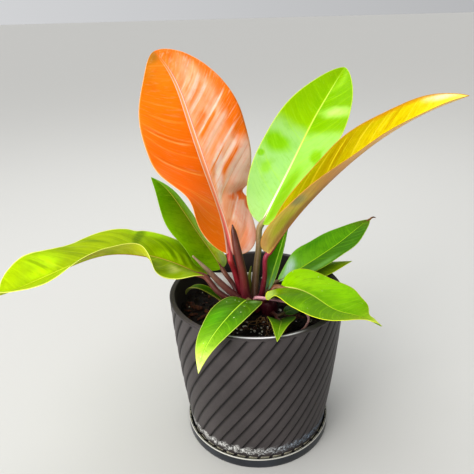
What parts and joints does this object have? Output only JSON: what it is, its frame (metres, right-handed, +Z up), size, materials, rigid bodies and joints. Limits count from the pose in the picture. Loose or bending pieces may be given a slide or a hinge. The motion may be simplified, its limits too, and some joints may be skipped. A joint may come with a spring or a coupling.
{
  "type": "potted prince of orange philodendron",
  "caption": "Potted aroid house plant: upright heart-shaped to lance-shaped leaves in orange, yellow, lime and green on maroon petioles, in a dark spiral-fluted pot on a saucer.",
  "frame": {"origin": "on the surface that the saucer stands on, under the axis of the pot", "axes": "+Z up along the pot's axis, +X to the right and -Y towards the front, where the low leaf hangs over the rim"},
  "size_m": [0.3942, 0.2128, 0.3632],
  "materials": {
    "saucer": "satin",
    "pot": "satin",
    "soil": "matte",
    "label": "satin",
    "stem": "satin",
    "orange_blade": "satin",
    "lime_blade": "satin",
    "yellow_blade": "satin",
    "yellow_green_blade": "satin",
    "light_green_blade": "satin",
    "green_blade": "satin",
    "dark_green_blade": "satin"
  },
  "bodies": {
    "root": {"saucer": "saucer", "pot": "pot", "soil": "soil", "plant_label": "label", "stem_and_petioles": "stem", "orange_leaf": "orange_blade", "lime_leaf": "lime_blade", "yellow_leaf": "yellow_blade", "left_leaf": "yellow_green_blade", "back_leaf": "dark_green_blade", "right_upper_leaf": "green_blade", "right_large_leaf": "light_green_blade", "right_low_leaf": "green_blade", "centre_leaf": "dark_green_blade", "front_leaf": "light_green_blade", "front_small_leaf": "green_blade", "left_small_leaf": "green_blade", "inner_small_leaf": "dark_green_blade"}
  },
  "joints": []
}
